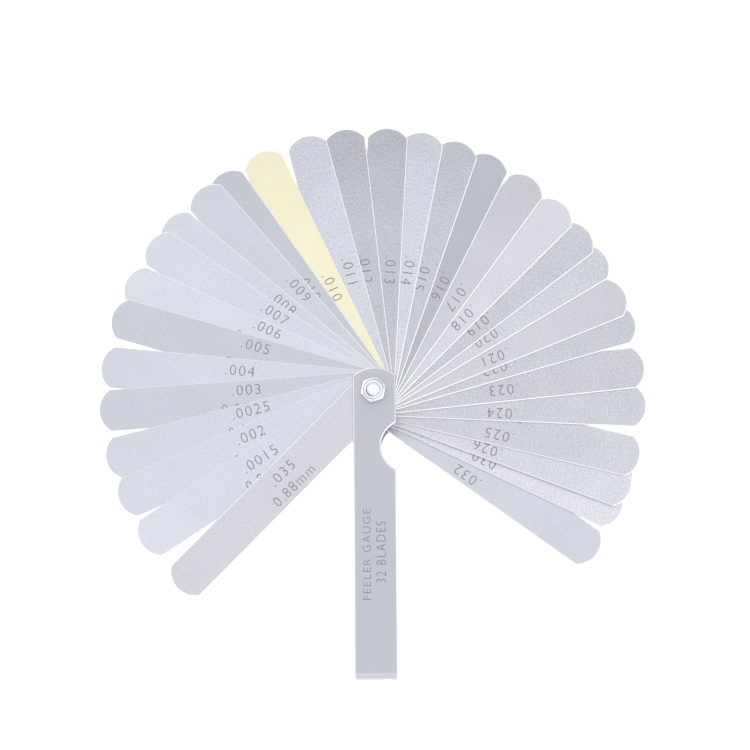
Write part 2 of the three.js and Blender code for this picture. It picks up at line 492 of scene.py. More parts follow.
@dataclass
class Leaf:
    """One gauge leaf, drawn pointing along +Y and then turned to its place in the fan.

    Attributes:
        name: Name of its CAD node, which is also its body.
        turn: Angle from +Y to the leaf, clockwise seen from the nut, in radians.
        floor: Height of its underside.
        thickness: Its gauge thickness.
        half_width: Half its width.
        reach: Distance from the pivot to the middle of the tip.
        tip_rise: Distance from the tip's corners to its middle, along the leaf.
        bore: Radius of the pivot hole.
        corner: Radius of the tip's two corners.
        edge_run: Most width of the rounded edge, seen from above.
        edge_drop: Share of the thickness that each rounded edge takes.
        edge_bow: Power of the edge's curve: 1 is a flat chamfer and 2 is a quarter ellipse.
    """

    name: str
    turn: float
    floor: float
    thickness: float
    half_width: float
    reach: float
    tip_rise: float
    bore: float
    corner: float = 0.7
    edge_run: float = 0.3
    edge_drop: float = 0.36
    edge_bow: float = 1.3

    side_count = 28
    end_count = 40
    tip_count = 56
    corner_count = 7
    edge_count = 6
    guard = 0.08  # width of the flat ring beside a rim, which keeps the flat's shading flat
    thin_share = 0.9  # most width of the rounded edge over the thickness
    # The faces in these rows get the near-white edge material, a painted highlight.
    highlight_rows = (3, 7)  # the upper rounded edge's rows of faces that show from above
    tip_share = 0.6  # where the tip's shade starts, over the reach
    grain_step = (37.0, 53.0)  # how far the grain moves for a turn of one and a rise of one

    # The leaves with a coarse grain; the others are ground finer.
    coarse = ("011", "012", "013", "014", "015", "019", "020")
    coarse += ("022", "023", "024", "025", "026", "028", "030")
    # How much brighter a leaf gets towards its tip, as a share, where it isn't even.
    tip_shades = {"035": -0.02, "0015": 0.05, "004": -0.05, "010": -0.07, "010_brass": -0.05}
    tip_shades |= {"011": -0.09, "012": -0.14, "013": -0.12, "014": -0.1, "015": -0.1}
    tip_shades |= {"017": -0.07, "020": -0.05, "021": -0.04, "022": -0.03}
    tip_shades |= {"025": 0.04, "026": 0.04, "030": 0.04}
    # The leaves whose steel isn't the usual cool one, and each steel's tint.
    warm = ("035", "017", "018", "021", "023", "030")
    neutral = ("019", "020", "022", "024", "025", "026")
    casts = {
        "warm": (0.985, 0.97, 0.98),
        "neutral": (0.985, 0.99, 1.01),
        "cool": (0.985, 1.0, 1.03),
        "brass": (0.97, 0.97, 0.99),
    }

    @classmethod
    def from_frame(cls, joint: dict) -> "Leaf":
        """Read a leaf's place and size from its joint and its CAD node.

        Args:
            joint: The joint that swings the leaf. Its range ends where the leaf is closed, half a
                turn either way from pointing along +Y.

        Returns:
            The leaf.
        """
        name = joint["child"]
        low, high = joint["range_deg"]
        turn = math.radians((low + high) / 2)
        points = turn_about_z(node_points(name), turn)
        half_width = float(np.abs(points[:, 0]).max())
        reach = float(points[:, 1].max())
        on_side = np.abs(points[:, 0]) > half_width - NEAR
        radius = np.hypot(points[:, 0], points[:, 1])
        return cls(
            name=name,
            turn=turn,
            floor=float(points[:, 2].min()),
            thickness=float(np.ptp(points[:, 2])),
            half_width=half_width,
            reach=reach,
            tip_rise=reach - float(points[on_side, 1].max()),
            bore=float(radius.min()),
        )

    @property
    def code(self) -> str:
        """The leaf's size without its point, and its metal where it isn't steel."""
        return self.name.removeprefix("blade_")

    def outline(self, inset: float) -> np.ndarray:
        """The leaf's outline moved inwards, as one anticlockwise loop.

        The round end is a half circle about the pivot. The sides are straight, with points at
        even angles seen from the pivot: half width times the tangent of the angle. Each corner
        is an arc that is tangent to the side and to the tip's arc.

        Args:
            inset: How far the outline is moved inwards.

        Returns:
            An array of x, y rows.
        """
        tip_radius = (self.half_width**2 + self.tip_rise**2) / (2 * self.tip_rise)
        tip_centre = self.reach - tip_radius
        corner_x = self.half_width - self.corner
        corner_y = tip_centre + math.sqrt((tip_radius - self.corner) ** 2 - corner_x**2)
        swing = math.atan2(corner_y - tip_centre, corner_x)
        half = self.half_width - inset
        seen = np.linspace(0, math.atan2(corner_y, self.half_width), self.side_count)[1:-1]
        side = np.column_stack([np.full_like(seen, half), self.half_width * np.tan(seen)])
        corner = arc((corner_x, corner_y), self.corner - inset, 0, swing, self.corner_count)
        tip = arc((0, tip_centre), tip_radius - inset, swing, math.pi - swing, self.tip_count)
        mirrored = np.array([-1.0, 1.0])
        return np.vstack(
            [
                arc((0, 0), half, math.pi, 2 * math.pi, self.end_count),
                side,
                corner,
                tip[1:-1],
                corner[::-1] * mirrored,
                side[::-1] * mirrored,
            ]
        )

    def rings(self) -> np.ndarray:
        """Rings round the leaf's section: over the top, round the edge, underneath and up the bore.

        The rounded edge follows a curve between a flat chamfer and a quarter ellipse: with the
        sine and the cosine raised to two over edge_bow, it runs in by edge_run times one minus
        the sine, and drops by edge_drop times the thickness times one minus the cosine.

        Returns:
            Array of rings by points by x, y, z, pointing along +Y with its underside at 0.
        """
        run = min(self.edge_run, self.thin_share * self.thickness)
        drop = self.edge_drop * self.thickness
        quarter = np.linspace(0, math.pi / 2, self.edge_count)
        power = 2 / self.edge_bow
        insets = run * (1 - np.sin(quarter) ** power)
        drops = drop * (1 - np.cos(quarter).clip(0, 1) ** power)
        insets = np.concatenate([[run + self.guard], insets])
        drops = np.concatenate([[0.0], drops])
        edge = self.outline(0.0)
        seen = np.arctan2(edge[:, 1], edge[:, 0])
        hole = self.bore * np.column_stack([np.cos(seen), np.sin(seen)])
        rim = hole * (1 + self.guard / self.bore)
        loops = [hole, rim] + [self.outline(inset) for inset in insets]
        heights = np.concatenate([[0.0, 0.0], drops])
        flat = np.array(loops)
        upper = np.dstack([flat, np.broadcast_to((self.thickness - heights)[:, None], flat.shape[:2])])
        lower = np.dstack([flat, np.broadcast_to(heights[:, None], flat.shape[:2])])
        return np.concatenate([upper, lower[::-1]])

    def build(self, shop: Workshop) -> bpy.types.Object:
        """Make the leaf, give it its finish and put it in place of its CAD node.

        Args:
            shop: Where its materials are made.

        Returns:
            The new piece.
        """
        code = self.code
        rings = self.rings()
        placed = turn_about_z(rings, -self.turn) + np.array([0.0, 0.0, self.floor])
        piece = mesh_from_rings(f"leaf_{code}", placed, closed=True)
        start = self.grain_start()
        write_uv(piece, rings.reshape(-1, 3)[:, :2] + start, shop.uv_span)
        metal = Metal.COARSE_STEEL if code in self.coarse else Metal.FINE_STEEL
        cast = "warm" if code in self.warm else "neutral" if code in self.neutral else "cool"
        if code.endswith("brass"):
            metal, cast = Metal.BRASS, "brass"
        colour = np.array(linear(record_colour(self.name))) * self.casts[cast]
        material = shop.material(
            f"{piece.name}_metal",
            tuple(colour.tolist()),
            metal,
            on_uv=True,
            tip_shade=self.tip_shades.get(code, 0.0),
            tip_span=(start[1] + self.tip_share * self.reach, start[1] + self.reach),
        )
        piece.data.materials.append(material)
        # Painted highlight: the upper rounded edge's rows that show from above get the near-white edge material.
        piece.data.materials.append(shop.edge(code.endswith("brass")))
        row = np.arange(len(piece.data.polygons)) // rings.shape[1]
        painted_highlight = (row >= self.highlight_rows[0]) & (row < self.highlight_rows[1])
        piece.data.polygons.foreach_set("material_index", painted_highlight.astype(np.int32))
        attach(piece, self.name)
        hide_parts(self.name)
        return piece

    def grain_start(self) -> np.ndarray:
        """Where on the grain this leaf is cut from, so that no two leaves look alike."""
        return np.array([self.turn, self.floor]) * self.grain_step


# ---- Etched marks ------------------------------------------------------------------------------


@dataclass(frozen=True)
class Line:
    """One line of lettering on a flat face.

    Attributes:
        text: What it says.
        start: Where its first letter's foot begins, as x, y in the face's frame.
        heading: Angle of the reading direction from +X, in radians.
        height: Height of a figure.
        length: Length of the line, or None to leave it as the letters fall.
    """

    text: str
    start: tuple[float, float]
    heading: float
    height: float
    length: float | None = None


class Etcher:
    """Turns lines of lettering into thin marks on a face.

    Attributes:
        depth: How far a mark goes below the face, in millimetres.
        proud: How far it stands above the face, in millimetres.
        thinning: How far the letters' outlines are moved, as a share of the letters' size.
        spacing: Space between letters over the usual space.
        figure_share: A figure's height over the size of the letters.
        weld: Share of the letters' size within which the caps and sides are joined.
        curve_steps: Straight steps in each curve of a letter.
        crease: Angle in degrees past which a mark's edge stays sharp.
        colour: Linear colour of the etched metal.
    """

    depth = 0.004
    proud = 0.004
    thinning = -0.014
    spacing = 1.19
    figure_share = 0.636
    weld = 0.0001
    curve_steps = 3
    crease = 30.0
    colour = (0.25, 0.25, 0.28)

    def marks(self, line: Line) -> tuple[np.ndarray, np.ndarray]:
        """Make the letters of one line as a thin closed mesh.

        Args:
            line: The line to letter.

        Returns:
            Its vertices in the face's frame, in millimetres, with the face at height 0, and
            three vertex numbers for each triangle.
        """
        curve = bpy.data.curves.new("lettering", "FONT")
        curve.body = line.text
        curve.size = 1.0
        curve.offset = self.thinning
        curve.extrude = 0.5
        curve.resolution_u = self.curve_steps
        curve.space_character = self.spacing
        letters = bpy.data.objects.new("lettering", curve)
        bpy.context.scene.collection.objects.link(letters)
        bpy.context.view_layer.update()
        settled = letters.evaluated_get(bpy.context.evaluated_depsgraph_get())
        mesh = bpy.data.meshes.new_from_object(settled)
        work = bmesh.new()
        work.from_mesh(mesh)
        bmesh.ops.remove_doubles(work, verts=work.verts, dist=self.weld)
        bmesh.ops.triangulate(work, faces=work.faces)
        bmesh.ops.recalc_face_normals(work, faces=work.faces)
        work.to_mesh(mesh)
        work.free()
        flat = np.zeros(len(mesh.vertices) * 3, np.float32)
        mesh.vertices.foreach_get("co", flat)
        corners = np.zeros(len(mesh.polygons) * 3, np.int32)
        mesh.polygons.foreach_get("vertices", corners)
        bpy.data.objects.remove(letters)
        bpy.data.meshes.remove(mesh)
        bpy.data.curves.remove(curve)
        points = flat.reshape(-1, 3).astype(float)
        points[:, 0] -= points[:, 0].min()
        size = line.height / self.figure_share
        stretch = size if line.length is None else line.length / np.ptp(points[:, 0])
        points *= np.array([stretch, size, self.depth + self.proud])
        points[:, 2] += (self.proud - self.depth) / 2
        points = turn_about_z(points, line.heading)
        points[:, :2] += line.start
        return points, corners.reshape(-1, 3)

    def etch(
        self, name: str, lines: list[Line], turn: float, height: float, shop: Workshop
    ) -> bpy.types.Object:
        """Make one piece of several lines on a face.

        Args:
            name: Name of the piece.
            lines: The lines, in the face's frame.
            turn: Clockwise angle from the row frame to the face's frame, in radians.
            height: Height of the face in the row frame.
            shop: Where the material is made.

        Returns:
            The new piece.
        """
        points, faces = [], []
        count = 0
        for line in lines:
            part, triangles = self.marks(line)
            points.append(part)
            faces.append(triangles + count)
            count += len(part)
        placed = turn_about_z(np.vstack(points), -turn) + np.array([0.0, 0.0, height])
        mesh = bpy.data.meshes.new(name)
        mesh.from_pydata((placed * MM).tolist(), [], np.vstack(faces).tolist())
        piece = link_mesh(name, mesh, self.crease)
        etched = bpy.data.materials.get("etched_marks")
        if etched is None:
            etched = shop.material("etched_marks", self.colour, Metal.ETCH, on_uv=False)
        piece.data.materials.append(etched)
        return piece


@dataclass
class SizeMark:
    """The two sizes etched on a leaf, reading from its tip towards the pivot.

    Attributes:
        leaf: The leaf that carries it.
        inch_start: Distance from the pivot to the start of the inch size.
        metric_start: Distance from the pivot to the start of the metric size.
        inch_foot: Distance from the leaf's middle to the foot of the inch size.
        metric_foot: The same for the metric size, on the other side of the middle.
        height: Height of a figure.
        metric_length: Length of the metric size.
        metric_share: What the metric size is rounded from, over the thickness.
        places: The four distances for each leaf, as far as they aren't the usual ones.
    """

    leaf: Leaf
    inch_start: float
    inch_foot: float
    metric_start: float = 46.5
    metric_foot: float = -5.2
    height: float = 3.0

    metric_length = 15.8
    metric_share = 0.99
    places = {
        "035": (41.6, 0.6, 45.3, -4.6),
        "0015": (45.9, 0.3, 48.1, -4.9),
        "002": (44.1, 1.2, 47.0, -4.4),
        "0025": (43.6, 2.3, 45.8, -3.0),
        "003": (43.2, 1.8, 46.6, -3.8),
        "004": (45.9, 1.1),
        "005": (43.2, 1.8),
        "006": (42.3, 2.7, 46.2, -2.7),
        "007": (43.3, 1.6),
        "008": (43.7, 1.7),
        "009": (44.1, 1.8),
        "010": (42.7, 0.9),
        "010_brass": (39.7, 1.0),
        "011": (42.8, 1.0),
        "012": (43.3, 0.3),
        "013": (43.2, 1.4),
        "014": (44.1, 1.5),
        "015": (43.9, 0.7),
        "016": (43.8, 2.1),
        "017": (43.9, 1.5),
        "018": (40.9, 1.3),
        "019": (43.6, 0.9),
        "020": (43.9, 1.2),
        "021": (43.3, 1.7),
        "022": (43.2, 0.9),
        "023": (44.4, 1.0),
        "024": (44.1, 2.3),
        "025": (44.9, 1.4),
        "026": (43.0, 1.7),
        "028": (43.5, 1.6),
        "030": (44.4, 1.7),
        "032": (42.2, 1.8),
    }

    @classmethod
    def on_leaf(cls, leaf: Leaf) -> "SizeMark":
        """Look up where the sizes stand on a leaf."""
        return cls(leaf, *cls.places[leaf.code])

    def build(self, shop: Workshop, etcher: Etcher) -> bpy.types.Object:
        """Etch the sizes on the leaf's upper face.

        Args:
            shop: Where the material is made.
            etcher: What makes the letters.

        Returns:
            The new piece.
        """
        leaf = self.leaf
        inch = f".{leaf.code.split('_')[0]}"
        metric = f"{leaf.thickness * self.metric_share:.2f}mm"
        heading = -math.pi / 2
        inch_place = (self.inch_foot, self.inch_start)
        metric_place = (self.metric_foot, self.metric_start)
        lines = [
            Line(inch, inch_place, heading, self.height),
            Line(metric, metric_place, heading, self.height, self.metric_length),
        ]
        top = leaf.floor + leaf.thickness
        piece = etcher.etch(f"size_{leaf.code}", lines, leaf.turn, top, shop)
        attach(piece, leaf.name)
        return piece


# ---- Holder ------------------------------------------------------------------------------------


@dataclass
class Holder:
    """The folded sheet: a front plate and a rear plate joined by a web with rounded bends.

    Attributes:
        left: Left edge.
        right: Right edge.
        end: Outside of the web.
        top: Upper face of the front plate.
        floor: Underside of the rear plate.
        sheet: Thickness of the sheet.
        bend: Outside radius of the bends.
        crown: Top of the rounded end.
        shoulder: Where the rounded end meets the long edges.
        bore: Radius of the screw's holes.
        notch_depth: Depth of the thumb notch.
        notch_span: Lowest and highest end of the notch on the right edge.
        edge: Radius of the sheet's rounded edges.
        brightness: Its colour's brightness over the record's.
        cast: The colour's tint.
        fold_shade: How much brighter the bends are painted than the plates: a painted highlight for the light that
            the bends reflect.
        fold_fade: Width over which they get brighter.
        past_bends: Where a CAD vertex is well clear of the bends, as its Y.
        notch_search: Highest and lowest Y between which the notch's ends are looked for.
        bend_count: Points on each bend's quarter circle.
        arc_count: Points on the rounded end and on each half of the bore.
        notch_count: Points on the notch.
        edge_steps: Steps across a rounded edge.
        edge_profile: How full a rounded edge is: a quarter circle is 0.5.
        corner: Angle in degrees past which an edge is rounded.
        letters: Foot from the middle, start from the end, height and length of each line.
    """

    left: float
    right: float
    end: float
    top: float
    floor: float
    sheet: float
    bend: float
    crown: float
    shoulder: float
    bore: float
    notch_depth: float
    notch_span: tuple[float, float]
    edge: float = 0.36

    brightness = 0.94
    cast = (1.0, 1.01, 1.035)
    fold_shade = 0.15
    fold_fade = 0.2
    past_bends = -3.0
    notch_search = (-1.0, -60.0)
    bend_count = 13
    arc_count = 25
    notch_count = 49
    edge_steps = 4
    edge_profile = 0.4
    corner = 50.0
    letters = {
        "FEELER GAUGE": (-1.4, 23.6, 2.2, 27.2),
        "32 BLADES": (3.15, 28.7, 2.7, 18.4),
    }

    @classmethod
    def from_frame(cls) -> "Holder":
        """Read the holder's sizes from its CAD node.

        The plates' faces are the four heights that its vertices past the bends take. The notch
        ends at the two vertices that are next to each other on the right edge, and it is as deep
        as the vertices between them go in.

        Returns:
            The holder.
        """
        points = node_points("holder")
        low, high = points.min(axis=0), points.max(axis=0)
        near_pivot = points[points[:, 1] > cls.past_bends]
        heights = np.unique(near_pivot[:, 2].round(2))
        upper = points[points[:, 2] > high[2] - NEAR]
        on_right = upper[upper[:, 0] > high[0] - NEAR][:, 1]
        search_high, search_low = cls.notch_search
        ends = on_right[(on_right < search_high) & (on_right > search_low)]
        notch = (float(ends.min()), float(ends.max()))
        beside = (upper[:, 1] < notch[1] + NEAR) & (upper[:, 1] > notch[0] - NEAR)
        notched = upper[beside & (upper[:, 0] > low[0] + NEAR)]
        radius = np.hypot(points[:, 0], points[:, 1])
        return cls(
            left=float(low[0]),
            right=float(high[0]),
            end=float(low[1]),
            top=float(high[2]),
            floor=float(low[2]),
            sheet=float(heights[1] - heights[0]),
            bend=float(upper[:, 1].min() - low[1]),
            crown=float(high[1]),
            shoulder=float(on_right.max()),
            bore=float(radius.min()),
            notch_depth=float(high[0] - notched[:, 0].min()),
            notch_span=notch,
        )

    def front_outline(self) -> tuple[np.ndarray, np.ndarray]:
        """The plate's right and left halves, cut on the line through the pivot.

        Each half is a closed loop: along the cut, half round the bore, along the cut again, over
        the rounded end, down the long edge (and round the notch on the right) and back at the
        bend. The rounded end and the notch are arcs through three known points.

        Returns:
            Two arrays of x, y rows, each starting at the plate's lower middle point.
        """
        middle = (self.left + self.right) / 2
        half = (self.right - self.left) / 2
        rise = self.crown - self.shoulder
        crown_radius = (half**2 + rise**2) / (2 * rise)
        crown_centre = (middle, self.crown - crown_radius)
        side = math.acos(half / crown_radius)
        cut = math.acos(-middle / crown_radius)
        low, high = self.notch_span
        chord = (high - low) / 2
        notch_radius = (chord**2 + self.notch_depth**2) / (2 * self.notch_depth)
        notch_centre = (self.right - self.notch_depth + notch_radius, (low + high) / 2)
        mouth = math.asin(chord / notch_radius)
        if notch_radius < self.notch_depth:
            mouth = math.pi - mouth
        fold = self.end + self.bend
        right = np.vstack(
            [
                [[0.0, fold]],
                arc((0, 0), self.bore, -math.pi / 2, math.pi / 2, self.arc_count),
                arc(crown_centre, crown_radius, cut, side, self.arc_count),
                arc(notch_centre, notch_radius, math.pi - mouth, math.pi + mouth, self.notch_count),
                [[self.right, fold]],
            ]
        )
        left = np.vstack(
            [
                [[0.0, fold]],
                [[self.left, fold]],
                arc(crown_centre, crown_radius, math.pi - side, cut, self.arc_count),
                arc((0, 0), self.bore, math.pi / 2, 3 * math.pi / 2, self.arc_count),
            ]
        )
        return right, left

    def skin(self) -> bpy.types.Mesh:
        """Make the sheet's outer skin: a folded strip round the end, and the two plates.

        The strip's path is a quarter circle for each bend: the depth and the height follow the
        sine and cosine of even angles. Its three rails are the two long edges and the line
        through the pivot.

        Returns:
            The skin, open along its edges, facing outwards.
        """
        fold = self.end + self.bend
        angle = np.linspace(0, math.pi / 2, self.bend_count)
        upper_y = fold - self.bend * np.sin(angle)
        upper_z = self.top - self.bend * (1 - np.cos(angle))
        path_y = np.concatenate([upper_y, upper_y[::-1]])
        path_z = np.concatenate([upper_z, self.floor + self.top - upper_z[::-1]])
        rails = np.array([self.left, 0.0, self.right])
        rows, columns = len(path_y), len(rails)
        strip = [np.tile(rails, rows), np.repeat(path_y, columns), np.repeat(path_z, columns)]
        points = [np.column_stack(strip)]
        first = (np.arange(rows - 1)[:, None] * columns + np.arange(columns - 1)).ravel()
        quads = np.stack([first, first + columns, first + columns + 1, first + 1], axis=1)
        faces = quads.tolist()
        count = rows * columns
        for height, flip in ((self.top, False), (self.floor, True)):
            for half in self.front_outline():
                points.append(np.column_stack([half, np.full(len(half), height)]))
                loop = list(range(count, count + len(half)))
                faces.append(loop[::-1] if flip else loop)
                count += len(half)
        mesh = bpy.data.meshes.new("holder_sheet")
        mesh.from_pydata((np.vstack(points) * MM).tolist(), [], faces)
        self.close(mesh)
        return mesh

    def build(self, shop: Workshop) -> bpy.types.Object:
        """Give the skin its thickness inwards, round its edges and dress it.

        Args:
            shop: Where its materials are made.

        Returns:
            The new piece.
        """
        piece = link_mesh("holder_sheet", self.skin(), crease=35.0)
        wall = piece.modifiers.new("wall", "SOLIDIFY")
        wall.thickness = self.sheet * MM
        wall.offset = -1.0
        wall.use_even_offset = True
        rounding = piece.modifiers.new("edges", "BEVEL")
        rounding.width = self.edge * MM
        rounding.segments = self.edge_steps
        rounding.profile = self.edge_profile
        rounding.limit_method = "ANGLE"
        rounding.angle_limit = math.radians(self.corner)
        rounding.use_clamp_overlap = False
        rounding.harden_normals = True
        # The rounded edges get the near-white edge material: a painted highlight.
        rounding.material = 1
        colour = np.array(linear(record_colour("holder"), self.brightness)) * self.cast
        fold = self.end + self.bend
        # The bends are painted brighter than the plates over fold_fade: a painted highlight.
        steel = shop.material(
            "holder_steel",
            tuple(colour.tolist()),
            Metal.ROLLED_STEEL,
            on_uv=False,
            tip_shade=self.fold_shade,
            tip_span=(fold, fold - self.fold_fade),
        )
        piece.data.materials.append(steel)
        piece.data.materials.append(shop.edge())
        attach(piece, "holder")
        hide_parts("holder")
        return piece

    @staticmethod
    def close(mesh: bpy.types.Mesh) -> None:
        """Merge the points that the plates and the strip share, and face the skin outwards.

        Args:
            mesh: The skin, which is changed.
        """
        work = bmesh.new()
        work.from_mesh(mesh)
        bmesh.ops.remove_doubles(work, verts=work.verts, dist=2 * NEAR * MM)
        bmesh.ops.recalc_face_normals(work, faces=work.faces)
        upper = max(work.faces, key=lambda face: face.calc_center_median().z)
        if upper.normal.z < 0:
            bmesh.ops.reverse_faces(work, faces=work.faces)
        work.to_mesh(mesh)
        work.free()

    def etch(self, shop: Workshop, etcher: Etcher) -> bpy.types.Object:
        """Etch what the tool is on the front plate, reading from the closed end to the pivot.

        Args:
            shop: Where the material is made.
            etcher: What makes the letters.

        Returns:
            The new piece.
        """
        middle = (self.left + self.right) / 2
        lines = [
            Line(text, (middle + foot, self.end + start), math.pi / 2, height, length)
            for text, (foot, start, height, length) in self.letters.items()
        ]
        piece = etcher.etch("holder_marks", lines, 0.0, self.top, shop)
        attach(piece, "holder")
        return piece


# ---- Nut and screw -----------------------------------------------------------------------------

HEX_CREASE = 28.0  # angle in degrees past which an edge of the nut or the screw stays sharp


@dataclass
class Hexagon:
    """A hexagon with chamfered corners and softened edges.

    Attributes:
        flat: Half the size across flats.
        turn: Angle from +X to a corner, anticlockwise, in radians.
        floor: Its lower face.
        top: Its upper face.
        face: Radius of the round face inside the chamfer.
        chamfer: Slope of the chamfer in radians.
        soften: How softly the corners between the flats are rounded, as a power.
        count: Points round the axis.
        chamfer_shares: Where rings run across a chamfer, from its round rim to the flats.
        rim: Height of the rounding between a chamfer and the flats.
    """

    flat: float
    turn: float
    floor: float
    top: float
    face: float
    chamfer: float = math.radians(30)
    soften: float = 60.0

    count = 240
    chamfer_shares = (0.25, 0.5, 0.75, 0.96)
    rim = 0.05

    @classmethod
    def from_points(cls, points: np.ndarray, face_height: float) -> "Hexagon":
        """Measure a hexagon from its CAD vertices.

        Args:
            points: Vertices of the hexagon, in millimetres.
            face_height: Height of a face that has a chamfer round it.

        Returns:
            The hexagon.
        """
        radius = np.hypot(points[:, 0], points[:, 1])
        outer = points[radius > radius.max() - 2 * NEAR]
        angle = np.arctan2(outer[0, 1], outer[0, 0])
        return cls(
            flat=float(radius.max()) * math.cos(math.pi / 6),
            turn=float(angle) % (math.pi / 3),
            floor=float(points[:, 2].min()),
            top=float(points[:, 2].max()),
            face=float(radius[np.abs(points[:, 2] - face_height) < NEAR].max()),
        )

    def angles(self) -> np.ndarray:
        """Even angles round the axis."""
        return np.linspace(0, 2 * math.pi, self.count, endpoint=False)

    def radius(self, angle: np.ndarray) -> np.ndarray:
        """Distance from the axis to the flats at each angle.

        The six flats' distances, flat over the cosine to each flat, are blended by a high power,
        so that the corners between them are slightly round.

        Args:
            angle: Angles from +X in radians.

        Returns:
            The distances.
        """
        normals = self.turn + math.pi / 6 + np.arange(6) * math.pi / 3
        reach = np.cos(angle[:, None] - normals[None, :]).clip(0, None) / self.flat
        return (reach**self.soften).sum(axis=1) ** (-1 / self.soften)

    def ring(self, radius: np.ndarray | float, height: np.ndarray | float) -> np.ndarray:
        """A ring of points: the radius times the cosine and sine of each angle, at a height.

        Args:
            radius: Distance from the axis, one number or one for each angle.
            height: Height in the row frame, likewise.

        Returns:
            Array of count rows of x, y, z.
        """
        angle = self.angles()
        height = np.broadcast_to(height, angle.shape)
        return np.column_stack([radius * np.cos(angle), radius * np.sin(angle), height])

    def side_rings(self, chamfer_floor: bool, chamfer_top: bool) -> list[np.ndarray]:
        """Rings from the lower face's rim over the flats to the upper face's rim.

        A chamfer starts at the round face's rim and falls by the tangent of the slope times the
        distance past there, so it meets each flat in a curve.

        Args:
            chamfer_floor: Whether the lower face has a chamfer round it.
            chamfer_top: Whether the upper face has one.

        Returns:
            The rings, from below to above.
        """
        width = self.radius(self.angles()) - self.face
        fall = width * math.tan(self.chamfer)
        lower = fall if chamfer_floor else np.zeros_like(fall)
        upper = fall if chamfer_top else np.zeros_like(fall)
        under = [
            self.ring(self.face + width * share, self.floor + lower * share)
            for share in (0.0, *self.chamfer_shares)
        ]
        over = [
            self.ring(self.face + width * share, self.top - upper * share)
            for share in (*self.chamfer_shares[::-1], 0.0)
        ]
        sides = [
            self.ring(self.face + width, self.floor + lower + self.rim),
            self.ring(self.face + width, self.top - upper - self.rim),
        ]
        return under + sides + over


@dataclass
class Nut:
    """The hexagon nut on the front plate.

    Attributes:
        hexagon: Its outside.
        bore: Radius of its threaded hole.
        mouth: How far the countersink widens each end of the hole.
        groove: Width of the groove round the flat face.
        groove_depth: Its depth.
        groove_slope: How far each of its walls leans.
        guard: Width of the flat ring beside a rim, which keeps the flat's shading flat.
        brightness: The plating's brightness over the record's colour.
        groove_colour: Linear colour painted on the groove: a painted shade for the dark ring of shadow in it.
    """

    hexagon: Hexagon
    bore: float
    mouth: float = 0.3
    groove: float = 0.2

    groove_depth = 0.06
    groove_slope = 0.04
    guard = 0.05
    brightness = 1.05
    groove_colour = (0.35, 0.36, 0.38)

    @classmethod
    def from_frame(cls) -> "Nut":
        """Measure the nut from its CAD node.

        Returns:
            The nut.
        """
        points = node_points("hex_nut")
        shape = Hexagon.from_points(points, float(points[:, 2].max()))
        return cls(shape, float(np.hypot(points[:, 0], points[:, 1]).min()))

    def build(self, shop: Workshop) -> bpy.types.Object:
        """Make the nut: over the flats, across the top, down the countersunk hole and back.

        A turned groove runs round the flat face just inside its chamfer.

        Args:
            shop: Where its materials are made.

        Returns:
            The new piece.
        """
        shape = self.hexagon
        rings = shape.side_rings(True, True)
        groove_start = len(rings) - 1
        inside = shape.face - self.groove
        wide = self.bore + self.mouth
        for radius, height in (
            (shape.face - self.groove_slope, shape.top - self.groove_depth),
            (inside + self.groove_slope, shape.top - self.groove_depth),
            (inside, shape.top),
            (inside - self.guard, shape.top),
            (wide + self.guard, shape.top),
            (wide, shape.top),
            (self.bore, shape.top - self.mouth),
            (self.bore, shape.floor + self.mouth),
            (wide, shape.floor),
        ):
            rings.append(shape.ring(radius, height))
        piece = mesh_from_rings("nut", np.array(rings), closed=True, crease=HEX_CREASE)
        colour = linear(record_colour("hex_nut"), self.brightness)
        plating = shop.material("nut_plating", colour, Metal.NICKEL, on_uv=False)
        # The groove's faces get a dark grey: painted shade for the groove's shadow.
        groove_shade = shop.material("nut_groove_shade", self.groove_colour, Metal.ETCH, on_uv=False)
        piece.data.materials.append(plating)
        piece.data.materials.append(groove_shade)
        row = np.arange(len(piece.data.polygons)) // shape.count
        in_groove = (row >= groove_start) & (row < groove_start + 3)
        piece.data.polygons.foreach_set("material_index", in_groove.astype(np.int32))
        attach(piece, "holder")
        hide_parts("hex_nut")
        return piece


